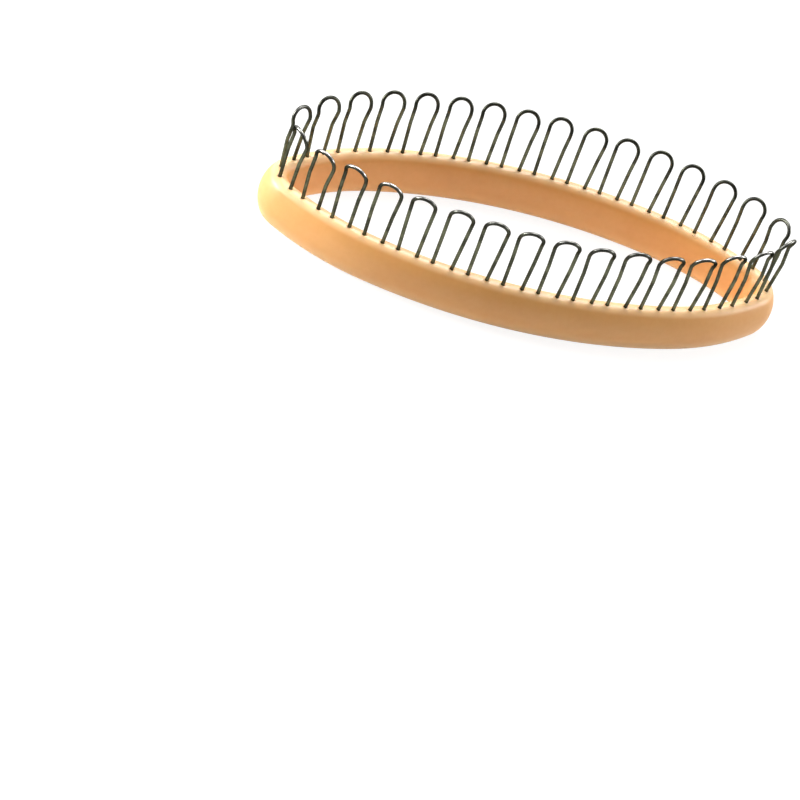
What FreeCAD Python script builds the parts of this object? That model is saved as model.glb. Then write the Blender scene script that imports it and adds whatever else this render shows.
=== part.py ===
"""Sock knitting loom: an oval moulded ring that carries a row of bent wire loops.

Frame: millimetres, +X along the ring's long axis, +Y across it, +Z up.
The origin is the centre of the ring at the level of the surface it stands on.
"""

import FreeCAD, Part
import math
import os

Vector = FreeCAD.Vector

# Peg line: the oval through the middle of the ring on which the loops stand.
# Each quarter of it is a tip arc, a shoulder arc and half of a side arc.
PEG_LINE_LENGTH = 172.0
PEG_LINE_WIDTH = 62.6
TIP_RADIUS = 9.0
TIP_SWEEP = 50.0
SHOULDER_SWEEP = 22.8

# Ring section: a round crown, two bulging sides and a narrow flat foot
RING_HEIGHT = 16.4
OUTER_WALL = 5.1
INNER_WALL = 4.4
CROWN_RADIUS = 3.6
FOOT_EDGE_RADIUS = 3.2
FOOT_WIDTH = 2.0

# Wire loops: two legs, a neck, a shoulder and a round head that leans outwards
LOOP_COUNT = 32
WIRE_DIAMETER = 1.25
LEG_SPACING = 6.5
NECK_SPACING = 7.2
HEAD_SPACING = 7.7
NECK_HEIGHT = 12.2
SHOULDER_RISE = 6.7
HEAD_STRAIGHT = 1.3
LEG_LEAN = 1.5
NECK_LEAN = -6.0
HEAD_LEAN = 21.0
LEG_BEND_RADIUS = 8.0
NECK_BEND_RADIUS = 6.0
SHOULDER_BEND_RADIUS = 2.6

# Blind holes in the crown, one for each leg
HOLE_DEPTH = 9.0
HOLE_CLEARANCE = 0.03

UP = Vector(0, 0, 1)
PARTS_FOLDER = "parts"


class Arc:
    """One stretch of the peg line, run anticlockwise as seen from above."""

    def __init__(self, centre, radius, start, sweep):
        self.centre = centre
        self.radius = radius
        self.start = start
        self.sweep = sweep

    def length(self):
        return self.radius * math.radians(self.sweep)

    def outward(self, angle):
        return Vector(math.cos(math.radians(angle)), math.sin(math.radians(angle)), 0)

    def point(self, angle):
        return self.centre + self.outward(angle) * self.radius


def shoulder_and_side_radii():
    """Radii that make the quarter oval end flat at the middle of its side."""
    tip_end = math.radians(TIP_SWEEP)
    side_start = math.radians(TIP_SWEEP + SHOULDER_SWEEP)
    along = PEG_LINE_LENGTH / 2 - TIP_RADIUS * (1 - math.cos(tip_end))
    across = PEG_LINE_WIDTH / 2 - TIP_RADIUS * math.sin(tip_end)
    shoulder_along = math.cos(tip_end) - math.cos(side_start)
    shoulder_across = math.sin(side_start) - math.sin(tip_end)
    side_along = math.cos(side_start)
    side_across = 1 - math.sin(side_start)
    scale = shoulder_along * side_across - side_along * shoulder_across
    shoulder = (along * side_across - side_along * across) / scale
    side = (shoulder_along * across - along * shoulder_across) / scale
    return shoulder, side


def peg_line():
    """The whole oval as eight tangent arcs, from the right tip round the back."""
    shoulder_radius, side_radius = shoulder_and_side_radii()
    tip_x = PEG_LINE_LENGTH / 2 - TIP_RADIUS
    tip_end = math.radians(TIP_SWEEP)
    shoulder_x = tip_x + (TIP_RADIUS - shoulder_radius) * math.cos(tip_end)
    shoulder_y = (TIP_RADIUS - shoulder_radius) * math.sin(tip_end)
    side_y = PEG_LINE_WIDTH / 2 - side_radius
    side_start = TIP_SWEEP + SHOULDER_SWEEP
    side_sweep = 2 * (90 - side_start)
    return [
        Arc(Vector(tip_x, 0, 0), TIP_RADIUS, -TIP_SWEEP, 2 * TIP_SWEEP),
        Arc(Vector(shoulder_x, shoulder_y, 0), shoulder_radius, TIP_SWEEP, SHOULDER_SWEEP),
        Arc(Vector(0, side_y, 0), side_radius, side_start, side_sweep),
        Arc(Vector(-shoulder_x, shoulder_y, 0), shoulder_radius, 180 - side_start, SHOULDER_SWEEP),
        Arc(Vector(-tip_x, 0, 0), TIP_RADIUS, 180 - TIP_SWEEP, 2 * TIP_SWEEP),
        Arc(Vector(-shoulder_x, -shoulder_y, 0), shoulder_radius, 180 + TIP_SWEEP, SHOULDER_SWEEP),
        Arc(Vector(0, -side_y, 0), side_radius, 180 + side_start, side_sweep),
        Arc(Vector(shoulder_x, -shoulder_y, 0), shoulder_radius, 360 - side_start, SHOULDER_SWEEP),
    ]


def point_on_line(arcs, distance):
    """The point at a distance along the peg line, counted from the left tip."""
    total = sum(arc.length() for arc in arcs)
    left = (distance + arcs[0].length() / 2 + total / 2) % total
    for arc in arcs:
        if left <= arc.length():
            break
        left -= arc.length()
    return arc.point(arc.start + math.degrees(left / arc.radius))


def bulge(wall):
    """Centre and radius of a side that is tangent to the crown and the foot's edge."""
    crown_z = RING_HEIGHT - CROWN_RADIUS
    foot_x = FOOT_WIDTH / 2
    crown_gap = wall - CROWN_RADIUS
    foot_gap = wall - FOOT_EDGE_RADIUS
    a = crown_gap - (foot_gap - foot_x)
    b = 2 * (foot_gap - foot_x) * crown_z - 2 * crown_gap * FOOT_EDGE_RADIUS
    crown_term = crown_gap ** 2 - crown_z ** 2
    foot_term = foot_gap ** 2 - foot_x ** 2 - FOOT_EDGE_RADIUS ** 2
    c = (foot_gap - foot_x) * crown_term - crown_gap * foot_term
    z = 2 * c / (-b - math.copysign(math.sqrt(b * b - 4 * a * c), b))
    x = (crown_gap ** 2 - (z - crown_z) ** 2) / (2 * crown_gap)
    return x, z, wall - x


def section_side(wall, hand):
    """Edges of one side of the ring section, from the foot up to the crest.

    The section lies in the XZ plane, with the peg line at x = 0, and hand is +1
    for the outer side and -1 for the inner one.
    """
    x, z, radius = bulge(wall)
    crown_z = RING_HEIGHT - CROWN_RADIUS
    foot_x = FOOT_WIDTH / 2
    low = math.atan2(FOOT_EDGE_RADIUS - z, foot_x - x)
    high = math.atan2(crown_z - z, -x)

    def at(centre_x, centre_z, arc_radius, angle):
        return Vector(hand * (centre_x + arc_radius * math.cos(angle)), 0,
                      centre_z + arc_radius * math.sin(angle))

    def edge(centre_x, centre_z, arc_radius, start, end):
        ends = [at(centre_x, centre_z, arc_radius, angle)
                for angle in (start, (start + end) / 2, end)]
        return Part.Arc(*ends).toShape()

    down = -math.pi / 2
    up = math.pi / 2
    foot_edge = edge(foot_x, FOOT_EDGE_RADIUS, FOOT_EDGE_RADIUS, down, low)
    side = edge(x, z, radius, low, high).toNurbs().Edges[0]
    crown = edge(0, crown_z, CROWN_RADIUS, high, up)
    return [foot_edge, side, crown]


def ring_section():
    """The closed face that the ring is swept from."""
    half_foot = Vector(FOOT_WIDTH / 2, 0, 0)
    foot = Part.LineSegment(-half_foot, half_foot).toShape()
    edges = [foot] + section_side(OUTER_WALL, 1) + section_side(INNER_WALL, -1)
    return Part.Face(Part.Wire(Part.__sortEdges__(edges)))


def ring_stretch(section, arc):
    """The part of the ring that stands on one arc of the peg line."""
    face = section.copy()
    face.translate(Vector(arc.radius, 0, 0))
    face.rotate(Vector(), UP, arc.start)
    face.translate(arc.centre)
    return face.revolve(arc.centre, UP, arc.sweep)


class Stand:
    """Where one loop stands: the middle of its legs and the way it faces."""

    def __init__(self, arcs, number):
        pitch = sum(arc.length() for arc in arcs) / LOOP_COUNT
        middle = (number + 0.5) * pitch
        first = point_on_line(arcs, middle - LEG_SPACING / 2)
        second = point_on_line(arcs, middle + LEG_SPACING / 2)
        self.centre = (first + second) * 0.5
        self.along = (second - first).normalize()
        self.outward = self.along.cross(UP)

    def legs(self):
        half = self.along * (LEG_SPACING / 2)
        return [self.centre - half, self.centre + half]

    def turn(self):
        return math.degrees(math.atan2(self.outward.y, self.outward.x)) - 90


def leg_hole(foot_of_leg):
    """The blind hole that one leg is pressed into."""
    radius = WIRE_DIAMETER / 2 + HOLE_CLEARANCE
    bottom = foot_of_leg + UP * (RING_HEIGHT - HOLE_DEPTH)
    return Part.makeCylinder(radius, HOLE_DEPTH + CROWN_RADIUS, bottom, UP)


def make_ring(arcs, stands):
    section = ring_section()
    stretches = [ring_stretch(section, arc) for arc in arcs]
    ring = stretches[0].fuse(stretches[1:])
    holes = [leg_hole(foot) for stand in stands for foot in stand.legs()]
    return ring.cut(holes).removeSplitter()


def bend(before, corner, after, radius):
    """Start, middle and end of the arc that rounds a corner of the wire's path."""
    back = (before - corner).normalize()
    ahead = (after - corner).normalize()
    half_turn = (math.pi - back.getAngle(ahead)) / 2
    cut = radius * math.tan(half_turn)
    inward = (back + ahead).normalize()
    centre = corner + inward * (radius / math.cos(half_turn))
    return corner + back * cut, centre - inward * radius, corner + ahead * cut


def lean(angle):
    """Unit vector that leans outwards from upright by an angle in degrees."""
    return Vector(0, math.sin(math.radians(angle)), math.cos(math.radians(angle)))


def half_path():
    """Corners of one leg, from the hole's bottom to where the round head starts."""
    foot = Vector(LEG_SPACING / 2, 0, -HOLE_DEPTH)
    crest = Vector(LEG_SPACING / 2, 0, 0)
    middle = lean(LEG_LEAN) * NECK_HEIGHT
    neck = middle + Vector(NECK_SPACING / 2, 0, 0)
    middle = middle + lean(NECK_LEAN) * SHOULDER_RISE
    shoulder = middle + Vector(HEAD_SPACING / 2, 0, 0)
    head = shoulder + lean(HEAD_LEAN) * HEAD_STRAIGHT
    return [foot, crest, neck, shoulder, head]


def mirrored(point):
    return Vector(-point.x, point.y, point.z)


def loop_path():
    """The wire's centre line: leg, round head and leg, as one tangent wire."""
    corners = half_path()
    radii = [LEG_BEND_RADIUS, NECK_BEND_RADIUS, SHOULDER_BEND_RADIUS]
    bends = [bend(corners[i], corners[i + 1], corners[i + 2], radius)
             for i, radius in enumerate(radii)]
    head = corners[-1]
    top = Vector(0, head.y, head.z) + lean(HEAD_LEAN) * (HEAD_SPACING / 2)

    def leg(place):
        edges = []
        start = place(corners[0])
        for first, middle, last in bends:
            edges.append(Part.LineSegment(start, place(first)).toShape())
            edges.append(Part.Arc(place(first), place(middle), place(last)).toShape())
            start = place(last)
        edges.append(Part.LineSegment(start, place(head)).toShape())
        return edges

    round_head = Part.Arc(head, top, mirrored(head)).toShape()
    edges = leg(Vector) + [round_head] + leg(mirrored)
    return Part.Wire(Part.__sortEdges__(edges))


def make_loop():
    """One bent wire, upright at the origin, with its head leaning towards +Y."""
    path = loop_path()
    foot = half_path()[0]
    section = Part.Wire(Part.makeCircle(WIRE_DIAMETER / 2, foot, UP))
    wire = path.makePipeShell([section], True, False)
    expected = math.pi * (WIRE_DIAMETER / 2) ** 2 * path.Length
    print("wire length %.2f, volume %.3f, section times length %.3f"
          % (path.Length, wire.Volume, expected))
    return wire


def placed(loop, stand):
    """A copy of the loop, turned and moved to its stand on the ring's crest."""
    copy = loop.copy()
    copy.rotate(Vector(), UP, stand.turn())
    copy.translate(stand.centre + UP * RING_HEIGHT)
    return copy


def save(shape, name):
    shape.exportStep(os.path.join(PARTS_FOLDER, name + ".step"))
    box = shape.BoundBox
    print("%-14s solids %d valid %s  %.1f x %.1f x %.1f  volume %.1f"
          % (name, len(shape.Solids), shape.isValid(),
             box.XLength, box.YLength, box.ZLength, shape.Volume))


def main():
    os.makedirs(PARTS_FOLDER, exist_ok=True)
    arcs = peg_line()
    stands = [Stand(arcs, number) for number in range(LOOP_COUNT)]
    save(make_ring(arcs, stands), "ring")
    loop = make_loop()
    for number, stand in enumerate(stands):
        save(placed(loop, stand), "wire_loop_%02d" % (number + 1))


main()
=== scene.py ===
"""Sock knitting loom in its finished looks: an oval moulded ring with bent wire loops.

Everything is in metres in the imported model's frame: +X along the ring, +Y across it,
+Z up, and the floor at z = 0.
"""

import logging
import math
import random
from dataclasses import dataclass
from dataclasses import field
from dataclasses import replace
from enum import Enum

import bmesh
import bpy
from bpy.types import Material
from bpy.types import NodeSocket
from bpy.types import NodeTree
from mathutils import Matrix
from mathutils import Vector
from mathutils.kdtree import KDTree


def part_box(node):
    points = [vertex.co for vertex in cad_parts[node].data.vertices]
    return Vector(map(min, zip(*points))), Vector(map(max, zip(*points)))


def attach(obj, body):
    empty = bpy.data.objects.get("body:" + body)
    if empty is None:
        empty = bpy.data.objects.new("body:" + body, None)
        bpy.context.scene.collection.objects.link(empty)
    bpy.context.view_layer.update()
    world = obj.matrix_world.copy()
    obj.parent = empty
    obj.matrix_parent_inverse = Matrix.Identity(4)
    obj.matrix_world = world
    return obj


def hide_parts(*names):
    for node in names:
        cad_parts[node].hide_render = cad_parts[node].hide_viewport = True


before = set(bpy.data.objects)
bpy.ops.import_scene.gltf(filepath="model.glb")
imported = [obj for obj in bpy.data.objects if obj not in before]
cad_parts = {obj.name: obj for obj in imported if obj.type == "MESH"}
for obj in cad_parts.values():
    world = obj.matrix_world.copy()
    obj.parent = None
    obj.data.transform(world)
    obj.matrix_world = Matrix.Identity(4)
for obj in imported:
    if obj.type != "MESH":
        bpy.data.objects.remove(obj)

LOG = logging.getLogger("sock_loom")

BODY = "root"
RING_NODE = "ring"
LOOP_NODE = "wire_loop_{:02d}"

UP = Vector((0.0, 0.0, 1.0))
NO_MOVE = (0.0, 0.0, 0.0)
HALF_TURN = math.pi
QUARTER_TURN = math.pi / 2
WHITE = (1.0, 1.0, 1.0, 1.0)
ROUNDING = 1e-6
MM_IN_METRE = 1000


class Slot(Enum):
    """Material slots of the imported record."""

    RING = "ring_plastic"
    WIRE = "wire_steel"


class Wall(Enum):
    """The two sides of the ring's section, by the sign of their X."""

    OUTER = 1
    INNER = -1


class Seen(Enum):
    """Kinds of ray that meet the white of the studio."""

    CAMERA = "Is Camera Ray"
    GLOSSY = "Is Glossy Ray"
    THROUGH = "Is Transmission Ray"


def smooth_step(share: float) -> float:
    """Eases a share from 0 to 1 with a level start and end."""
    share = min(1.0, max(0.0, share))
    return share * share * (3.0 - 2.0 * share)


def steps_for(length: float, step: float) -> int:
    """How many equal steps, none longer than step, cover a length."""
    return max(1, math.ceil(length / step - ROUNDING))


def add_object(name: str, data: bpy.types.ID) -> bpy.types.Object:
    """Puts a new object in the scene, at the origin.

    Args:
        name: Name of the object.
        data: Its mesh, lamp or camera.

    Returns:
        The new object.
    """
    made = bpy.data.objects.new(name, data)
    bpy.context.scene.collection.objects.link(made)
    return made


def new_piece(name: str, bm: bmesh.types.BMesh, finish: Material) -> bpy.types.Object:
    """Turns a finished bmesh into an object of the scene, at the origin.

    Args:
        name: Name of the new object and its mesh.
        bm: The modelled shape. It is freed here.
        finish: The only material of the piece.

    Returns:
        The new object, linked to the scene.
    """
    mesh = bpy.data.meshes.new(name)
    bm.to_mesh(mesh)
    bm.free()
    mesh.materials.append(finish)
    return add_object(name, mesh)


@dataclass(frozen=True)
class Arc:
    """One arc of the peg line, run anticlockwise as seen from above."""

    centre: Vector
    radius: float
    start: float
    sweep: float

    def length(self) -> float:
        """Length of the arc."""
        return self.radius * self.sweep

    def point(self, distance: float) -> Vector:
        """The point at a distance from the arc's start."""
        angle = self.start + distance / self.radius
        return self.centre + Vector((math.cos(angle), math.sin(angle), 0.0)) * self.radius


@dataclass(frozen=True)
class Stand:
    """Where one wire loop stands on the crest, and which way it faces."""

    number: int
    centre: Vector
    outward: Vector

    def along(self) -> Vector:
        """Unit vector from one leg of the loop to the other."""
        return self.outward.cross(UP)

    def legs(self, spacing: float) -> list[Vector]:
        """Places of the two legs on the plan of the ring."""
        half = self.along() * (spacing / 2)
        return [self.centre - half, self.centre + half]

    def matrix(self, height: float) -> Matrix:
        """Takes a loop made at the origin, facing +Y, to its stand."""
        columns = Matrix((self.along(), self.outward, UP)).transposed()
        return Matrix.Translation(self.centre + UP * height) @ columns.to_4x4()


@dataclass
class PegLine:
    """The oval through the middle of the ring on which the loops stand.

    A quarter of it is half a tip arc, a shoulder arc and half a side arc.
    """

    length: float
    width: float
    tip_radius: float = 0.009
    tip_sweep: float = math.radians(50.0)
    shoulder_sweep: float = math.radians(22.8)
    loop_count: int = 32
    leg_spacing: float = 0.0065

    def quarter(self) -> list[Arc]:
        """The three arcs from the right tip to the middle of the back.

        Returns:
            The tip, shoulder and side arcs, each tangent to the next.
        """
        first = self.tip_sweep
        last = self.tip_sweep + self.shoulder_sweep
        along = self.length / 2 - self.tip_radius * (1 - math.cos(first))
        across = self.width / 2 - self.tip_radius * math.sin(first)
        shoulder_x = math.cos(first) - math.cos(last)
        shoulder_y = math.sin(last) - math.sin(first)
        side_x = math.cos(last)
        side_y = 1 - math.sin(last)
        scale = shoulder_x * side_y - side_x * shoulder_y
        shoulder = (along * side_y - side_x * across) / scale
        side = (shoulder_x * across - along * shoulder_y) / scale
        tip_centre = Vector((self.length / 2 - self.tip_radius, 0.0, 0.0))
        towards = Vector((math.cos(first), math.sin(first), 0.0))
        return [
            Arc(tip_centre, self.tip_radius, 0.0, first),
            Arc(tip_centre + towards * (self.tip_radius - shoulder), shoulder, first,
                self.shoulder_sweep),
            Arc(Vector((0.0, self.width / 2 - side, 0.0)), side, last, QUARTER_TURN - last),
        ]

    def quarter_length(self) -> float:
        """Length of a quarter of the oval."""
        return sum(arc.length() for arc in self.quarter())

    def point(self, distance: float) -> Vector:
        """The point of the first quarter at a distance from the right tip.

        Args:
            distance: How far to go along the line.

        Returns:
            The point, or the quarter's end if the line is shorter.
        """
        for arc in self.quarter():
            if distance <= arc.length():
                return arc.point(distance)
            distance -= arc.length()
        return arc.point(arc.length())

    def leg_marks(self) -> list[float]:
        """Distances of the legs along the first quarter."""
        half = self.leg_spacing / 2
        return [middle + side for middle in self.loop_marks() for side in (-half, half)]

    def loop_marks(self) -> list[float]:
        """Distances of the loops' middles along the first quarter.

        Returns:
            One distance for each loop of the quarter.
        """
        per_quarter = self.loop_count // 4
        pitch = self.quarter_length() / per_quarter
        return [(place + 0.5) * pitch for place in range(per_quarter)]

    def quarter_stands(self) -> list[Stand]:
        """Stands of the back right quarter.

        Returns:
            The stands, counted from 0 at the right tip.
        """
        stands = []
        for place, middle in enumerate(self.loop_marks()):
            first = self.point(middle - self.leg_spacing / 2)
            second = self.point(middle + self.leg_spacing / 2)
            outward = (second - first).normalized().cross(UP)
            stands.append(Stand(place, (first + second) / 2, outward))
        return stands

    def stands(self) -> list[Stand]:
        """All stands, numbered from the left tip along the front.

        Returns:
            The stands in the order of their numbers, from 1.
        """
        half = self.loop_count // 2
        found = []
        for stand in self.quarter_stands():
            for x_sign, y_sign, number in (
                (-1, -1, 1 + stand.number),
                (1, -1, half - stand.number),
                (1, 1, half + 1 + stand.number),
                (-1, 1, self.loop_count - stand.number),
            ):
                turn = Vector((x_sign, y_sign, 1.0))
                found.append(Stand(number, stand.centre * turn, stand.outward * turn))
        return sorted(found, key=lambda stand: stand.number)


@dataclass
class RingSection:
    """The ring's section: a round crown, two bulging walls and a narrow flat foot."""

    height: float
    outer_wall: float = 0.0051
    inner_wall: float = 0.0044
    crown_radius: float = 0.0036
    foot_edge_radius: float = 0.0032
    foot_width: float = 0.002
    crest_half: float = 0.0018
    crest_step: float = 0.0002
    wall_step: float = 0.0009

    def wall_of(self, wall: Wall) -> float:
        """How far a wall stands out from the peg line."""
        return self.outer_wall if wall is Wall.OUTER else self.inner_wall

    def bulge(self, reach: float) -> tuple[float, float, float]:
        """The arc of a wall that is tangent to the crown and to the foot's edge.

        Args:
            reach: How far the wall stands out from the peg line.

        Returns:
            X and Z of the arc's centre, and its radius.
        """
        crown_z = self.height - self.crown_radius
        foot_x = self.foot_width / 2
        crown_gap = reach - self.crown_radius
        foot_gap = reach - self.foot_edge_radius
        inset = foot_gap - foot_x
        a = crown_gap - inset
        b = 2 * inset * crown_z - 2 * crown_gap * self.foot_edge_radius
        crown_term = crown_gap ** 2 - crown_z ** 2
        foot_term = foot_gap ** 2 - foot_x ** 2 - self.foot_edge_radius ** 2
        c = inset * crown_term - crown_gap * foot_term
        z = 2 * c / (-b - math.copysign(math.sqrt(b * b - 4 * a * c), b))
        x = (crown_gap ** 2 - (z - crown_z) ** 2) / (2 * crown_gap)
        return x, z, reach - x

    def trace(self, bm: bmesh.types.BMesh, wall: Wall) -> None:
        """Draws one side of the section, from the middle of the foot to the crest.

        Args:
            bm: The bmesh that takes the line, in its XZ plane.
            wall: Which side is drawn.
        """
        hand = wall.value
        x, z, radius = self.bulge(self.wall_of(wall))
        crown_z = self.height - self.crown_radius
        foot_x = self.foot_width / 2
        low = math.atan2(self.foot_edge_radius - z, foot_x - x)
        high = math.atan2(crown_z - z, -x)
        crest = QUARTER_TURN - self.crest_half / self.crown_radius
        tip = bmesh.ops.create_vert(bm, co=NO_MOVE)["vert"]
        tip = bmesh.ops.spin(bm, geom=tip, cent=NO_MOVE, axis=UP, dvec=(hand * foot_x, 0, 0),
                             angle=0.0, steps=1)["geom_last"]
        bends = (
            (foot_x, self.foot_edge_radius, self.foot_edge_radius, -QUARTER_TURN, low, self.wall_step),
            (x, z, radius, low, high, self.wall_step),
            (0.0, crown_z, self.crown_radius, high, crest, self.wall_step),
            (0.0, crown_z, self.crown_radius, crest, QUARTER_TURN, self.crest_step),
        )
        for centre_x, centre_z, bend_radius, start, end, step in bends:
            tip = bmesh.ops.spin(
                bm, geom=[part for part in tip if isinstance(part, bmesh.types.BMVert)],
                cent=(hand * centre_x, 0.0, centre_z), axis=(0.0, -hand, 0.0), dvec=NO_MOVE,
                angle=end - start, steps=steps_for(bend_radius * (end - start), step),
            )["geom_last"]


@dataclass
class LegHole:
    """The blind hole that one leg of a wire loop is pressed into."""

    bottom: float
    radius: float = 0.000735
    mouth_width: float = 0.00045
    mouth_depth: float = 0.00013


@dataclass
class MouldedRing:
    """The ring: one plastic moulding with a blind hole for each leg."""

    line: PegLine
    section: RingSection
    hole: LegHole
    finish: Material
    patch_half: float = 0.0013
    patch_step: float = 0.0002
    plain_step: float = 0.0011
    merge_gap: float = 0.00002
    mouth_zone: float = 0.25
    sharp_angle: float = math.radians(38.0)

    def build(self) -> bpy.types.Object:
        """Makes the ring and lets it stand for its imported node.

        Returns:
            The finished ring.
        """
        bm = bmesh.new()
        self._sweep(bm)
        self._drill(bm)
        self._mirror(bm)
        self._shade(bm)
        ring = new_piece("moulded_ring", bm, self.finish)
        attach(ring, BODY)
        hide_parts(RING_NODE)
        LOG.info("%s: %d faces", ring.name, len(ring.data.polygons))
        return ring

    def _sweep(self, bm: bmesh.types.BMesh) -> None:
        """Spins the section along the quarter, in fine steps beside each leg.

        Args:
            bm: The empty bmesh that takes the quarter.
        """
        for wall in Wall:
            self.section.trace(bm, wall)
        bmesh.ops.remove_doubles(bm, verts=bm.verts, dist=self.merge_gap)
        bmesh.ops.translate(bm, verts=bm.verts, vec=(self.line.length / 2, 0.0, 0.0))
        tip = list(bm.verts) + list(bm.edges)
        gone = 0.0
        for arc in self.line.quarter():
            for start, end, step in self._stretches(gone, gone + arc.length()):
                tip = bmesh.ops.spin(
                    bm, geom=tip, cent=arc.centre, axis=UP, dvec=NO_MOVE,
                    angle=(end - start) / arc.radius, steps=steps_for(end - start, step),
                )["geom_last"]
            gone += arc.length()

    def _stretches(self, start: float, end: float) -> list[tuple[float, float, float]]:
        """Cuts a part of the line into plain stretches and patches round the legs.

        Args:
            start: Distance at which the part starts.
            end: Distance at which it ends.

        Returns:
            Start, end and longest step of each stretch.
        """
        marks = self.line.leg_marks()
        bounds = [mark + side for mark in marks for side in (-self.patch_half, self.patch_half)]
        cuts = [start] + [bound for bound in bounds if start < bound < end] + [end]
        found = []
        for first, last in zip(cuts, cuts[1:]):
            middle = (first + last) / 2
            beside_leg = any(abs(middle - mark) < self.patch_half for mark in marks)
            found.append((first, last, self.patch_step if beside_leg else self.plain_step))
        return found

    def _drill(self, bm: bmesh.types.BMesh) -> None:
        """Sinks the mouth of each hole and opens its bore.

        Args:
            bm: The quarter of the ring.
        """
        legs = [leg for stand in self.line.quarter_stands()
                for leg in stand.legs(self.line.leg_spacing)]
        tree = KDTree(len(legs))
        for index, leg in enumerate(legs):
            tree.insert(leg, index)
        tree.balance()
        crest = self.section.height - self.section.crown_radius * self.mouth_zone
        near = {}
        for vert in bm.verts:
            if vert.co.z < crest:
                continue
            _, index, gap = tree.find((vert.co.x, vert.co.y, 0.0))
            share = 1 - (gap - self.hole.radius) / self.hole.mouth_width
            vert.co.z -= self.hole.mouth_depth * smooth_step(share)
            near[vert] = index
        inside = {index: [] for index in range(len(legs))}
        for face in bm.faces:
            if face.verts[0] in near:
                middle = face.calc_center_median()
                _, index, gap = tree.find((middle.x, middle.y, 0.0))
                if gap < self.hole.radius:
                    inside[index].append(face)
        for index, leg in enumerate(legs):
            self._bore(bm, leg, inside[index])

    def _bore(self, bm: bmesh.types.BMesh, leg: Vector, faces: list[bmesh.types.BMFace]) -> None:
        """Opens one round bore where its faces were.

        Args:
            bm: The quarter of the ring.
            leg: Place of the leg on the plan.
            faces: The faces that the bore takes away.
        """
        rim = {edge for face in faces for edge in face.edges
               if any(other not in faces for other in edge.link_faces)}
        bmesh.ops.delete(bm, geom=faces, context="FACES")
        rim = [edge for edge in rim if edge.is_valid]
        for vert in {vert for edge in rim for vert in edge.verts}:
            out = Vector((vert.co.x - leg.x, vert.co.y - leg.y, 0.0)).normalized()
            vert.co.x = leg.x + out.x * self.hole.radius
            vert.co.y = leg.y + out.y * self.hole.radius
        made = bmesh.ops.extrude_edge_only(bm, edges=rim)["geom"]
        for part in made:
            if isinstance(part, bmesh.types.BMVert):
                part.co.z = self.hole.bottom
        bottom = [part for part in made if isinstance(part, bmesh.types.BMEdge)]
        bmesh.ops.edgeloop_fill(bm, edges=bottom)

    def _mirror(self, bm: bmesh.types.BMesh) -> None:
        """Makes the whole ring.

        Args:
            bm: The quarter of the ring, which becomes the whole.
        """
        for axis in ("Y", "X"):
            whole = list(bm.verts) + list(bm.edges) + list(bm.faces)
            bmesh.ops.mirror(bm, geom=whole, matrix=Matrix(), merge_dist=self.merge_gap, axis=axis)
        bmesh.ops.remove_doubles(bm, verts=bm.verts, dist=self.merge_gap)
        bmesh.ops.recalc_face_normals(bm, faces=bm.faces)

    def _shade(self, bm: bmesh.types.BMesh) -> None:
        """Smooths the faces and keeps the edge of each bore sharp.

        Args:
            bm: The whole ring.
        """
        for face in bm.faces:
            face.smooth = True
        for edge in bm.edges:
            edge.smooth = edge.calc_face_angle(0.0) < self.sharp_angle


@dataclass(frozen=True)
class HandSet:
    """How one loop was set by hand: turned above the crest and pressed in.

    Angles are in radians. Neck and head are what the loop leans there beyond the others.
    """

    lean: float = 0.0
    sway: float = 0.0
    twist: float = 0.0
    press: float = 0.0
    neck: float = 0.0
    head: float = 0.0

    def turn(self) -> Matrix:
        """Rotation about the middle of the loop's crest."""
        return (Matrix.Rotation(-self.lean, 3, "X") @ Matrix.Rotation(self.sway, 3, "Y")
                @ Matrix.Rotation(self.twist, 3, "Z"))


@dataclass
class LoopShape:
    """Sizes of one wire loop: two legs, a neck, a shoulder and a round head."""

    leg_depth: float
    wire_radius: float = 0.000625
    leg_spacing: float = 0.0065
    neck_spacing: float = 0.0072
    head_spacing: float = 0.0077
    neck_height: float = 0.0122
    shoulder_rise: float = 0.0067
    head_straight: float = 0.0013
    leg_lean: float = math.radians(1.5)
    neck_lean: float = math.radians(-6.0)
    head_lean: float = math.radians(21.0)
    bend_radii: tuple[float, float, float] = (0.008, 0.006, 0.0026)

    def leg(self, hand: int, hand_set: HandSet) -> list[Vector]:
        """Corners of one leg, from the bottom of its hole to the round head.

        Args:
            hand: +1 for the leg on the +X side and -1 for the other.
            hand_set: How the loop is turned above the crest.

        Returns:
            The foot, crest, neck, shoulder and head corners.
        """
        def leaning(angle: float, length: float) -> Vector:
            """A step that leans outwards by an angle."""
            return Vector((0.0, math.sin(angle), math.cos(angle))) * length

        foot = Vector((hand * self.leg_spacing / 2, 0.0, hand_set.press - self.leg_depth))
        crest = Vector((hand * self.leg_spacing / 2, 0.0, 0.0))
        middle = leaning(self.leg_lean, self.neck_height)
        neck = middle + Vector((hand * self.neck_spacing / 2, 0.0, 0.0))
        middle = middle + leaning(self.neck_lean + hand_set.neck, self.shoulder_rise)
        shoulder = middle + Vector((hand * self.head_spacing / 2, 0.0, 0.0))
        head = shoulder + leaning(self.head_lean + hand_set.head, self.head_straight)
        turn = hand_set.turn()
        return [foot, crest, turn @ neck, turn @ shoulder, turn @ head]


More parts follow.
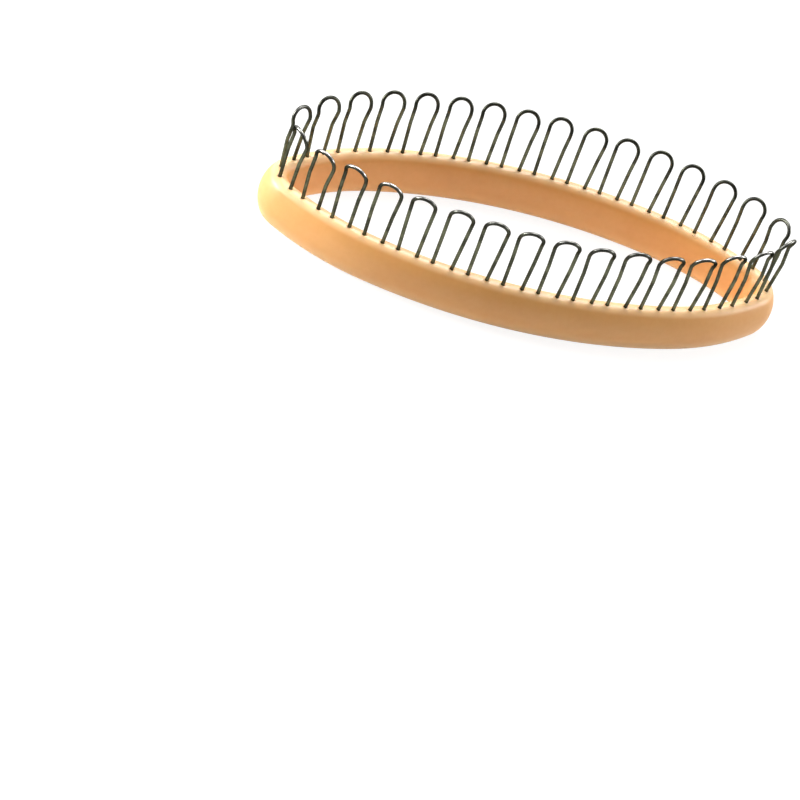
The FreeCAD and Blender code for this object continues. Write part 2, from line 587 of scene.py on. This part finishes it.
class WireBender:
    """Feeds one round wire and bends it, as a bench tool does.

    Each vertex keeps the place that it had in the straight wire, measured from the
    wire's middle, so that a pattern can follow the wire round its bends.
    """

    STRAIGHT = "straight"
    SIDES = 20
    STEP_ANGLE = math.radians(7.0)

    def __init__(self, radius: float, start: Vector, heading: Vector) -> None:
        """Cuts the wire's end square.

        Args:
            radius: Half the wire's thickness.
            start: Where the wire starts.
            heading: The way it is fed first.
        """
        self.bm = bmesh.new()
        self.layer = self.bm.verts.layers.float_vector.new(self.STRAIGHT)
        self.at = start.copy()
        self.heading = heading.normalized()
        self.fed = 0.0
        verts = bmesh.ops.create_circle(self.bm, cap_ends=False, segments=self.SIDES,
                                        radius=radius)["verts"]
        for vert in verts:
            vert[self.layer] = vert.co
        turn = UP.rotation_difference(self.heading).to_matrix().to_4x4()
        bmesh.ops.transform(self.bm, matrix=Matrix.Translation(self.at) @ turn, verts=verts)
        self.tip = list(self.bm.verts) + list(self.bm.edges)
        bmesh.ops.edgeloop_fill(self.bm, edges=self.bm.edges[:])

    def _step(self, length: float, **move: object) -> None:
        """Adds one length of wire by spinning the tip.

        Args:
            length: How much wire it takes.
            move: What the spin turns and shifts by.
        """
        made = bmesh.ops.spin(self.bm, geom=self.tip, steps=1, **move)
        self.tip = made["geom_last"]
        self.fed += length
        for part in self.tip:
            if isinstance(part, bmesh.types.BMVert):
                part[self.layer].z = self.fed

    def feed_to(self, point: Vector) -> None:
        """Feeds straight wire.

        Args:
            point: Where the wire stops, straight ahead.
        """
        move = point - self.at
        self._step(move.length, cent=self.at, axis=self.heading, dvec=move, angle=0.0)
        self.at = point.copy()

    def bend(self, centre: Vector, axis: Vector, angle: float) -> None:
        """Bends the wire round a pin.

        Args:
            centre: Middle of the pin.
            axis: Unit vector along the pin.
            angle: How far the wire turns, in radians.
        """
        count = steps_for(angle, self.STEP_ANGLE)
        share = angle / count
        radius = (self.at - centre).length
        for _ in range(count):
            self._step(radius * share, cent=centre, axis=axis, dvec=NO_MOVE, angle=share)
        turn = Matrix.Rotation(angle, 3, axis)
        self.at = centre + turn @ (self.at - centre)
        self.heading = (turn @ self.heading).normalized()

    def follow(self, corners: list[Vector], radii: list[float]) -> None:
        """Runs through corners, each rounded by its own radius.

        Args:
            corners: The corners ahead, and the end point.
            radii: Bend radius of each corner.
        """
        for corner, after, radius in zip(corners, corners[1:], radii):
            ahead = (after - corner).normalized()
            angle = self.heading.angle(ahead)
            self.feed_to(corner - self.heading * (radius * math.tan(angle / 2)))
            axis = self.heading.cross(ahead).normalized()
            self.bend(self.at + axis.cross(self.heading) * radius, axis, angle)
        self.feed_to(corners[-1])

    def finish(self) -> bmesh.types.BMesh:
        """Cuts the wire off.

        Returns:
            The shape of the whole wire.
        """
        edges = [part for part in self.tip if isinstance(part, bmesh.types.BMEdge)]
        bmesh.ops.edgeloop_fill(self.bm, edges=edges)
        for vert in self.bm.verts:
            vert[self.layer].z -= self.fed / 2
        bmesh.ops.recalc_face_normals(self.bm, faces=self.bm.faces)
        for face in self.bm.faces:
            face.smooth = len(face.verts) == 4
        return self.bm


def in_degrees(**angles: float) -> HandSet:
    """How a loop was knocked, given in degrees."""
    return HandSet(**{name: math.radians(angle) for name, angle in angles.items()})


@dataclass
class LoopRow:
    """The wire loops that stand round the crest as pegs."""

    line: PegLine
    crest: float
    shape: LoopShape
    finish: Material
    seed: int = 11
    lean_middle: float = math.radians(0.8)
    lean_wave: float = math.radians(1.6)
    wave_start: float = math.radians(67.5)
    lean_spread: float = math.radians(0.6)
    sway_middle: float = math.radians(-0.6)
    sway_spread: float = math.radians(1.0)
    twist_middle: float = math.radians(-2.2)
    twist_spread: float = math.radians(1.6)
    neck_more: float = math.radians(-1.5)
    press_range: tuple[float, float] = (0.0001, 0.00025)
    knocked: dict[int, HandSet] = field(default_factory=lambda: {
        1: in_degrees(lean=1, sway=-4, twist=-1),
        2: in_degrees(lean=8, sway=-4, twist=-4, neck=-5, head=-12),
        4: in_degrees(lean=4, sway=-1, twist=-3, neck=-10, head=-6),
        5: in_degrees(lean=2, sway=0.5, twist=-1, neck=-6, head=-4),
        14: in_degrees(lean=-3, sway=-1, twist=-4),
        15: in_degrees(lean=-1, sway=-0.5, twist=-3, neck=-3, head=-3),
        16: in_degrees(lean=-3, sway=-5, twist=-7),
        17: in_degrees(lean=-2.5, sway=-1, twist=-6),
        30: in_degrees(lean=2, sway=0, twist=-2, neck=-4),
        31: in_degrees(lean=1, sway=-1, twist=-3, neck=-6),
        32: in_degrees(lean=-3, sway=-3, twist=-6),
    })

    def build(self) -> list[bpy.types.Object]:
        """Makes all loops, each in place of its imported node."""
        chance = random.Random(self.seed)
        return [self._loop(stand, self._hand_set(stand, chance)) for stand in self.line.stands()]

    def _hand_set(self, stand: Stand, chance: random.Random) -> HandSet:
        """Draws how one loop was set: those at the back lean out most.

        Args:
            stand: Where the loop stands.
            chance: Source of the small differences.

        Returns:
            The loop's own turns and how deep it was pressed in.
        """
        round_share = (stand.number - 0.5) / self.line.loop_count
        wave = math.cos(2 * math.pi * round_share + self.wave_start)
        drawn = HandSet(
            lean=(self.lean_middle + self.lean_wave * wave
                  + chance.uniform(-1, 1) * self.lean_spread),
            sway=self.sway_middle + chance.uniform(-1, 1) * self.sway_spread,
            twist=self.twist_middle + chance.uniform(-1, 1) * self.twist_spread,
            press=chance.uniform(*self.press_range),
            neck=self.neck_more,
        )
        return replace(self.knocked.get(stand.number, drawn), press=drawn.press)

    def _loop(self, stand: Stand, hand_set: HandSet) -> bpy.types.Object:
        """Bends one wire and stands it in its two holes.

        Args:
            stand: Where the loop stands.
            hand_set: How it is turned above the crest.

        Returns:
            The finished wire.
        """
        rising = self.shape.leg(1, hand_set)
        falling = self.shape.leg(-1, hand_set)[::-1]
        bender = WireBender(self.shape.wire_radius, rising[0], UP)
        bender.follow(rising[1:], self.shape.bend_radii)
        across = falling[0] - rising[-1]
        middle = (rising[-1] + falling[0]) / 2
        bender.bend(middle, bender.heading.cross(across).normalized(), HALF_TURN)
        bender.follow(falling[1:], self.shape.bend_radii[::-1])
        bm = bender.finish()
        bmesh.ops.transform(bm, matrix=stand.matrix(self.crest - hand_set.press), verts=bm.verts)
        wire = new_piece("bent_wire_{:02d}".format(stand.number), bm, self.finish)
        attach(wire, BODY)
        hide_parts(LOOP_NODE.format(stand.number))
        LOG.info("%s: %.1f mm of wire", wire.name, bender.fed * MM_IN_METRE)
        return wire


class Board:
    """Places and joins the shader nodes of one node tree."""

    def __init__(self, tree: NodeTree) -> None:
        """Works on a tree, which is emptied first."""
        self.tree = tree
        tree.nodes.clear()

    def node(self, kind: str, inputs: dict | None = None, **settings: object) -> bpy.types.Node:
        """Adds one node.

        Args:
            kind: Type of the node.
            inputs: Value or source socket for each named input.
            settings: Properties of the node itself.

        Returns:
            The new node.
        """
        made = self.tree.nodes.new(kind)
        for name, value in settings.items():
            setattr(made, name, value)
        for name, value in (inputs or {}).items():
            socket = made.inputs[name]
            if isinstance(value, NodeSocket):
                self.tree.links.new(value, socket)
            else:
                socket.default_value = value
        return made

    def maths(self, operation: str, first: object, second: object = 0.0) -> NodeSocket:
        """Adds a Math node and gives its result."""
        return self.node("ShaderNodeMath", {0: first, 1: second}, operation=operation).outputs[0]

    def ramp(self, value: object, low: object, high: object) -> NodeSocket:
        """A share that eases from 0 at the low value to 1 at the high one."""
        return self.node("ShaderNodeMapRange", {"Value": value, "From Min": low, "From Max": high},
                         interpolation_type="SMOOTHSTEP").outputs["Result"]

    def between(self, share: object, low: object, high: object) -> NodeSocket:
        """A value that runs from low to high as share goes from 0 to 1."""
        return self.node("ShaderNodeMapRange", {"Value": share, "To Min": low, "To Max": high}
                         ).outputs["Result"]

    def tint(self, share: object, first: tuple, second: tuple) -> NodeSocket:
        """A colour that runs from the first to the second as share goes from 0 to 1."""
        made = self.node("ShaderNodeMix", {"Factor": share, "A": first, "B": second},
                         data_type="RGBA")
        return made.outputs["Result"]

    def group(self, tree: NodeTree, **inputs: object) -> NodeSocket:
        """Places a shared node group with its own values and gives its output."""
        return self.node("ShaderNodeGroup", inputs, node_tree=tree).outputs[0]

    def axis(self, vector: object, name: str) -> NodeSocket:
        """The X, Y or Z part of a vector."""
        return self.node("ShaderNodeSeparateXYZ", {"Vector": vector}).outputs[name]

    def noise(self, vector: object, scale: object, detail: object,
              roughness: float = 0.5) -> NodeSocket:
        """Adds a Noise Texture and gives its value."""
        return self.node("ShaderNodeTexNoise", {"Vector": vector, "Scale": scale, "Detail": detail,
                                                "Roughness": roughness}).outputs["Fac"]


def new_material(name: str) -> tuple[Material, Board]:
    """Starts a material.

    Args:
        name: Name of the material.

    Returns:
        The material, and the board that places its nodes.
    """
    made = bpy.data.materials.new(name)
    made.use_nodes = True
    return made, Board(made.node_tree)


def new_group(name: str, inputs: dict[str, str], output: str) -> tuple[NodeTree, Board]:
    """Starts a shader node group with float or vector inputs and one float output.

    Args:
        name: Name of the group.
        inputs: Socket type of each named input.
        output: Name of the output.

    Returns:
        The group's tree, and the board that places its nodes.
    """
    tree = bpy.data.node_groups.new(name, "ShaderNodeTree")
    board = Board(tree)
    for label, kind in inputs.items():
        tree.interface.new_socket(label, in_out="INPUT", socket_type=kind)
    tree.interface.new_socket(output, in_out="OUTPUT", socket_type="NodeSocketFloat")
    return tree, board


class Textures:
    """The surface effects that several finishes share, each a node group made once."""

    NUMBER = "NodeSocketFloat"
    VECTOR = "NodeSocketVector"
    MIDDLE = 0.5
    CLOUD_DETAIL = 3.0
    CLOUD_ROUGHNESS = 0.55
    PATCH_DETAIL = 2.0
    PATCH_RANGE = (0.45, 1.25)

    def __init__(self) -> None:
        """Makes the three groups."""
        self.mottle = self._mottle()
        self.grain = self._grain()
        self.height_band = self._rubbed()

    def _mottle(self) -> NodeTree:
        """Soft uneven patches.

        Returns:
            The group, with a mask from 0 to 1.
        """
        tree, board = new_group("mottle", {"Vector": self.VECTOR, "Scale": self.NUMBER,
                                           "Spread": self.NUMBER}, "Mask")
        given = board.node("NodeGroupInput").outputs
        noise = board.noise(given["Vector"], given["Scale"], self.CLOUD_DETAIL,
                            self.CLOUD_ROUGHNESS)
        low = board.maths("SUBTRACT", self.MIDDLE, given["Spread"])
        high = board.maths("ADD", self.MIDDLE, given["Spread"])
        board.node("NodeGroupOutput", {"Mask": board.ramp(noise, low, high)})
        return tree

    def _grain(self) -> NodeTree:
        """Fine relief, drawn out by a stretch along each axis.

        Returns:
            The group, with a height.
        """
        tree, board = new_group("fine_grain", {"Vector": self.VECTOR, "Stretch": self.VECTOR,
                                               "Scale": self.NUMBER, "Detail": self.NUMBER},
                                "Height")
        given = board.node("NodeGroupInput").outputs
        drawn = board.node("ShaderNodeVectorMath", {0: given["Vector"], 1: given["Stretch"]},
                           operation="DIVIDE").outputs["Vector"]
        noise = board.noise(drawn, given["Scale"], given["Detail"])
        board.node("NodeGroupOutput", {"Height": noise})
        return tree

    def _rubbed(self) -> NodeTree:
        """A patchy band between two heights, where the finishes put painted highlights, painted shade
        and polish.

        Returns:
            The group, with a mask that rises from the low to the high height.
        """
        tree, board = new_group("height_band", {"Vector": self.VECTOR, "Low": self.NUMBER,
                                           "High": self.NUMBER, "Scale": self.NUMBER}, "Mask")
        given = board.node("NodeGroupInput").outputs
        rise = board.ramp(board.axis(given["Vector"], "Z"), given["Low"], given["High"])
        noise = board.noise(given["Vector"], given["Scale"], self.PATCH_DETAIL)
        mask = board.maths("MULTIPLY", rise, board.between(noise, *self.PATCH_RANGE))
        board.node("NodeGroupOutput", {"Mask": mask})
        return tree


@dataclass(frozen=True)
class SatinPlastic:
    """Peach plastic as it leaves the mould: satin and a little cloudy.

    Hands polish its crest smoother, and the crest is painted paler as a painted highlight. It is
    painted lighter, in patches, towards the foot as painted bounce light from the floor.
    """

    textures: Textures
    crest: float
    light: tuple = (0.83, 0.412, 0.132, 1.0)
    deep: tuple = (0.77, 0.355, 0.100, 1.0)
    # painted highlight: the pale tint of the crest
    paled: tuple = (1.0, 0.66, 0.35, 1.0)
    # painted bounce light from the floor: the lighter tint near the foot
    scuffed: tuple = (1.0, 0.62, 0.28, 1.0)
    cloud_scale: float = 34.0
    cloud_spread: float = 0.16
    cloud_part: float = 0.7
    fleck_scale: float = 520.0
    fleck_spread: float = 0.2
    fleck_part: float = 0.3
    # height band of the painted crest highlight, which is also polished
    worn_from: float = 0.88
    worn_scale: float = 90.0
    # height band of the painted bounce light at the foot
    scuffed_from: float = 0.42
    scuff_scale: float = 60.0
    peel_scale: float = 800.0
    peel_detail: float = 2.0
    peel_stretch: tuple = (1.0, 1.0, 1.0)
    peel_strength: float = 0.35
    peel_depth: float = 0.00003
    dull: float = 0.46
    polished: float = 0.34
    glow_weight: float = 0.12
    glow_depth: float = 0.002
    glow_colours: tuple = (1.0, 0.45, 0.2)
    refraction: float = 1.57

    def material(self) -> Material:
        """Builds the finish.

        Returns:
            The ring's material.
        """
        made, board = new_material("peach_plastic")
        place = board.node("ShaderNodeTexCoord").outputs["Object"]
        clouds = board.group(self.textures.mottle, Vector=place, Scale=self.cloud_scale,
                             Spread=self.cloud_spread)
        flecks = board.group(self.textures.mottle, Vector=place, Scale=self.fleck_scale,
                             Spread=self.fleck_spread)
        flecked = board.maths("MULTIPLY", flecks, self.fleck_part)
        share = board.maths("ADD", board.maths("MULTIPLY", clouds, self.cloud_part), flecked)
        # painted highlight: the crest is tinted paler towards the top, and glossier there
        highlight_and_polish = board.group(self.textures.height_band, Vector=place, Low=self.crest * self.worn_from,
                           High=self.crest, Scale=self.worn_scale)
        # painted bounce light: the wall is tinted lighter, in patches, towards the foot
        foot_bounce = board.group(self.textures.height_band, Vector=place,
                             Low=self.crest * self.scuffed_from, High=0.0,
                             Scale=self.scuff_scale)
        peel = board.group(self.textures.grain, Vector=place, Stretch=self.peel_stretch,
                           Scale=self.peel_scale, Detail=self.peel_detail)
        relief = board.node("ShaderNodeBump", {"Strength": self.peel_strength,
                                               "Distance": self.peel_depth, "Height": peel})
        gloss = board.between(board.maths("ADD", highlight_and_polish, flecked), self.dull, self.polished)
        moulded = board.tint(share, self.deep, self.light)
        shader = board.node("ShaderNodeBsdfPrincipled", {
            "Base Color": board.tint(highlight_and_polish, board.tint(foot_bounce, moulded, self.scuffed), self.paled),
            "Roughness": gloss,
            "Normal": relief.outputs["Normal"],
            "Subsurface Weight": self.glow_weight,
            "Subsurface Scale": self.glow_depth,
            "Subsurface Radius": self.glow_colours,
            "IOR": self.refraction,
        })
        board.node("ShaderNodeOutputMaterial", {"Surface": shader.outputs["BSDF"]})
        return made


@dataclass(frozen=True)
class DrawnSteel:
    """Dark drawn spring wire: fine lines along it, painted shade and painted highlights on the heads.

    The heads are painted darker from the neck up. Their upper sides are painted bright as a painted
    highlight and made glossier: the two corners most, the front row more than the back, and the whole
    heads at the two ends of the loom.
    """

    textures: Textures
    neck: float
    top: float
    front: float
    dark: tuple = (0.055, 0.058, 0.040, 1.0)
    patina: tuple = (0.22, 0.235, 0.14, 1.0)
    # painted shade: the dark tint of the heads, standing in for their dark reflection
    blued: tuple = (0.042, 0.043, 0.037, 1.0)
    # painted highlight on the upper side of the heads
    bright: tuple = (0.78, 0.77, 0.74, 1.0)
    edge: tuple = (0.3, 0.3, 0.3, 1.0)
    side_steepness: float = 0.35
    top_steepness: float = 0.75
    back_row_share: float = -0.6
    middle_share: float = 0.2
    ends_from: float = 0.040
    ends_full: float = 0.053
    corner_place: float = 0.0062
    corner_half: float = 0.0014
    patina_scale: float = 230.0
    patina_spread: float = 0.14
    rubbed_scale: float = 150.0
    line_scale: float = 9000.0
    line_detail: float = 2.0
    line_gloss: float = 0.4
    line_strength: float = 0.5
    line_stretch: tuple = (1.0, 1.0, 60.0)
    line_depth: float = 0.000004
    dull: float = 0.32
    polished: float = 0.24

    def material(self) -> Material:
        """Builds the finish.

        Returns:
            The wires' material.
        """
        made, board = new_material("drawn_steel")
        place = board.node("ShaderNodeTexCoord").outputs["Object"]
        straight = board.node("ShaderNodeAttribute", attribute_name=WireBender.STRAIGHT
                              ).outputs["Vector"]
        clouds = board.group(self.textures.mottle, Vector=place, Scale=self.patina_scale,
                             Spread=self.patina_spread)
        lines = board.group(self.textures.grain, Vector=straight, Stretch=self.line_stretch,
                            Scale=self.line_scale, Detail=self.line_detail)
        # band of the heads, from the neck up, which carries the painted shade
        height_band = board.group(self.textures.height_band, Vector=place, Low=self.neck,
                             High=self.top, Scale=self.rubbed_scale)
        # painted highlight: the upper sides of the heads are tinted bright, and glossier there
        highlight_spots = board.maths("MULTIPLY", self._upper_side(board, place),
                              self._worked(board, place, straight))
        highlight_and_polish = board.maths("MULTIPLY", height_band, highlight_spots)
        relief = board.node("ShaderNodeBump", {"Strength": self.line_strength,
                                               "Distance": self.line_depth, "Height": lines})
        aged = board.tint(board.maths("MULTIPLY", clouds, lines), self.dark, self.patina)
        # painted shade: the heads are tinted darker from the neck up
        shaded_heads = board.tint(height_band, aged, self.blued)
        shiny = board.maths("ADD", highlight_and_polish, board.maths("MULTIPLY", lines, self.line_gloss))
        gloss = board.between(shiny, self.dull, self.polished)
        shader = board.node("ShaderNodeBsdfPrincipled", {
            "Base Color": board.tint(highlight_and_polish, shaded_heads, self.bright),
            "Specular Tint": self.edge,
            "Metallic": 1.0,
            "Roughness": gloss,
            "Normal": relief.outputs["Normal"],
        })
        board.node("ShaderNodeOutputMaterial", {"Surface": shader.outputs["BSDF"]})
        return made

    def _upper_side(self, board: Board, place: NodeSocket) -> NodeSocket:
        """Where the painted highlight falls: on faces that look up, and most in the front row.

        Args:
            board: The finish that asks.
            place: Coordinates on the object.

        Returns:
            A share from 0 to 1.
        """
        normal = board.node("ShaderNodeNewGeometry").outputs["Normal"]
        facing = board.ramp(board.axis(normal, "Z"), self.side_steepness, self.top_steepness)
        row = board.node("ShaderNodeMapRange", {"Value": board.axis(place, "Y"),
                                                "From Min": -self.front,
                                                "From Max": self.front,
                                                "To Min": self.back_row_share, "To Max": 1.0})
        return board.maths("MULTIPLY", facing, board.maths("MAXIMUM", row.outputs["Result"], 0.0))

    def _worked(self, board: Board, place: NodeSocket,
                straight: NodeSocket) -> NodeSocket:
        """Where the painted highlight is strongest: at the corners of each head and at the ends of the
        loom.

        Args:
            board: The finish that asks.
            place: Coordinates on the object.
            straight: Place in the straight wire, from its middle.

        Returns:
            A share from 0 to 1.
        """
        along = board.maths("ABSOLUTE", board.axis(place, "X"))
        ends = board.between(board.ramp(along, self.ends_from, self.ends_full),
                             self.middle_share, 1.0)
        fed = board.maths("ABSOLUTE", board.axis(straight, "Z"))
        off_corner = board.maths("SUBTRACT", fed, self.corner_place)
        corner = board.ramp(board.maths("ABSOLUTE", off_corner), self.corner_half, 0.0)
        return board.maths("MAXIMUM", ends, corner)


@dataclass(frozen=True)
class Softbox:
    """One soft lamp of the studio."""

    name: str
    place: tuple[float, float, float]
    width: float
    power: float
    colour: tuple[float, float, float] = (1.0, 1.0, 1.0)

    def build(self, aim: Vector) -> bpy.types.Object:
        """Hangs the lamp.

        Args:
            aim: The point that it shines at.

        Returns:
            The lamp.
        """
        data = bpy.data.lights.new(self.name, "AREA")
        data.shape = "DISK"
        data.size = self.width
        data.energy = self.power
        data.color = self.colour
        lamp = add_object(self.name, data)
        lamp.visible_camera = False
        lamp.location = self.place
        lamp.rotation_euler = (aim - Vector(self.place)).to_track_quat("-Z", "Y").to_euler()
        return lamp


@dataclass
class Viewpoint:
    """The photograph's viewing angle: where the middle of the picture meets the floor."""

    aim: tuple[float, float, float] = (-0.0380, -0.0775, 0.0)
    azimuth: float = math.radians(-13.29)
    elevation: float = math.radians(42.87)
    roll: float = math.radians(21.46)
    distance: float = 0.6153
    lens: float = 89.1
    nearest: float = 0.01

    def build(self) -> bpy.types.Object:
        """Makes the camera and gives it to the scene.

        Returns:
            The camera.
        """
        data = bpy.data.cameras.new("camera")
        data.lens = self.lens
        data.clip_start = self.nearest
        camera = add_object("camera", data)
        level = math.cos(self.elevation)
        back = Vector((math.sin(self.azimuth) * level, -math.cos(self.azimuth) * level,
                       math.sin(self.elevation)))
        right = UP.cross(back).normalized()
        turn = Matrix.Rotation(self.roll, 3, back)
        right = turn @ right
        axes = Matrix((right, back.cross(right), back)).transposed()
        camera.matrix_world = (Matrix.Translation(Vector(self.aim) + back * self.distance)
                               @ axes.to_4x4())
        bpy.context.scene.camera = camera
        return camera


@dataclass(frozen=True)
class GreyCard:
    """A grey card that only reflections show, as the dark side of a studio."""

    name: str
    place: tuple[float, float, float]
    size: float
    grey: float

    def build(self, aim: Vector) -> bpy.types.Object:
        """Stands the card up.

        Args:
            aim: The point that it faces.

        Returns:
            The card, which is part of the stage.
        """
        made, board = new_material(self.name)
        shade = board.node("ShaderNodeEmission", {"Color": (self.grey,) * 3 + (1.0,)})
        board.node("ShaderNodeOutputMaterial", {"Surface": shade.outputs[0]})
        bm = bmesh.new()
        bmesh.ops.create_grid(bm, x_segments=1, y_segments=1, size=self.size / 2)
        turn = (aim - Vector(self.place)).to_track_quat("Z", "Y").to_matrix().to_4x4()
        bmesh.ops.transform(bm, matrix=Matrix.Translation(self.place) @ turn, verts=bm.verts)
        card = new_piece(self.name, bm, made)
        card.visible_camera = False
        card.visible_diffuse = False
        card.visible_shadow = False
        card.visible_transmission = False
        return card


@dataclass
class Studio:
    """The plain studio round the loom: pale floor, white surroundings and soft lamps."""

    floor_size: float = 6.0
    floor_colour: tuple = (0.92, 0.91, 0.88, 1.0)
    floor_share: float = 0.75
    floor_white: float = 1.18
    shadow_reach: tuple[float, float] = (0.2, 0.6)
    ambient: float = 0.17
    softboxes: list[Softbox] = field(default_factory=lambda: [
        Softbox("top_softbox", (0.04, 0.24, 0.80), 0.60, 2.1),
        Softbox("back_softbox", (0.12, 0.43, 0.74), 0.60, 5.0),
        Softbox("left_softbox", (-0.68, 0.08, 0.54), 0.40, 1.8),
        Softbox("low_left_softbox", (-0.36, 0.03, 0.14), 0.14, 1.4),
        Softbox("right_softbox", (0.80, 0.02, 0.34), 0.40, 3.2),
    ])
    card: GreyCard = GreyCard("grey_card", (0.0, -1.0, 0.75), 2.4, 0.1)

    def build(self) -> None:
        """Sets up floor, surroundings, lamps and view."""
        self._floor()
        self._surroundings()
        for softbox in self.softboxes:
            softbox.build(Vector())
        self.card.build(Vector())
        Viewpoint().build()
        bpy.context.scene.view_settings.view_transform = "Standard"
        LOG.info("studio: %d softboxes", len(self.softboxes))

    def _seen(self, board: Board) -> NodeSocket:
        """Tells the rays that see the white of the studio from those that only light.

        Args:
            board: The material or world that asks.

        Returns:
            1 for a ray that sees the white, and 0 for the others.
        """
        path = board.node("ShaderNodeLightPath").outputs
        total = board.maths("ADD", path[Seen.CAMERA.value], path[Seen.GLOSSY.value])
        return board.node("ShaderNodeMath", {0: total, 1: path[Seen.THROUGH.value]},
                          operation="ADD", use_clamp=True).outputs[0]

    def _floor(self) -> None:
        """The pale floor, which keeps the loom's shadow and is plain white further out."""
        made, board = new_material("pale_floor")
        shade = board.node("ShaderNodeBsdfDiffuse", {"Color": self.floor_colour})
        white = board.node("ShaderNodeEmission", {"Strength": self.floor_white})
        place = board.node("ShaderNodeTexCoord").outputs["Object"]
        gap = board.node("ShaderNodeVectorMath", {0: place}, operation="LENGTH").outputs["Value"]
        white_share = board.between(board.ramp(gap, *self.shadow_reach), self.floor_share, 1.0)
        share = board.maths("MULTIPLY", self._seen(board), white_share)
        both = board.node("ShaderNodeMixShader", {0: share, 1: shade.outputs[0],
                                                  2: white.outputs[0]})
        board.node("ShaderNodeOutputMaterial", {"Surface": both.outputs[0]})
        bm = bmesh.new()
        bmesh.ops.create_grid(bm, x_segments=1, y_segments=1, size=self.floor_size / 2)
        new_piece("floor", bm, made)

    def _surroundings(self) -> None:
        """White to the eye and in reflections, and a soft light that comes from above."""
        world = bpy.data.worlds.new("surroundings")
        bpy.context.scene.world = world
        world.use_nodes = True
        board = Board(world.node_tree)
        towards = board.node("ShaderNodeTexCoord").outputs["Generated"]
        above = board.maths("MAXIMUM", board.axis(towards, "Z"), 0.0)
        level = board.maths("MULTIPLY", above, self.ambient)
        soft = board.node("ShaderNodeBackground", {"Color": WHITE, "Strength": level})
        white = board.node("ShaderNodeBackground", {"Color": WHITE, "Strength": 1.0})
        both = board.node("ShaderNodeMixShader", {0: self._seen(board), 1: soft.outputs[0],
                                                  2: white.outputs[0]})
        board.node("ShaderNodeOutputWorld", {"Surface": both.outputs[0]})


def corners(bounds: tuple[Vector, Vector]) -> list[list[float]]:
    """Lowest and highest corner as plain lists of numbers."""
    return [list(corner) for corner in bounds]


def main() -> None:
    """Builds the loom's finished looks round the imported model."""
    logging.basicConfig(level=logging.INFO, format="%(name)s %(message)s")
    bpy.context.view_layer.update()
    ring_low, ring_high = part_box(RING_NODE)
    loop_low, loop_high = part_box(LOOP_NODE.format(1))
    section = RingSection(height=ring_high.z - ring_low.z)
    span = ring_high - ring_low
    line = PegLine(length=span.x - 2 * section.outer_wall, width=span.y - 2 * section.outer_wall)
    textures = Textures()
    plastic = SatinPlastic(textures, crest=section.height).material()
    shape = LoopShape(leg_depth=section.height - loop_low.z, leg_spacing=line.leg_spacing)
    steel = DrawnSteel(textures, neck=section.height + shape.neck_height, top=loop_high.z,
                       front=ring_low.y).material()
    MouldedRing(line, section, LegHole(bottom=loop_low.z), plastic).build()
    LoopRow(line, section.height, shape, steel).build()
    Studio().build()
    bpy.context.view_layer.update()


if __name__ == "__main__":
    main()
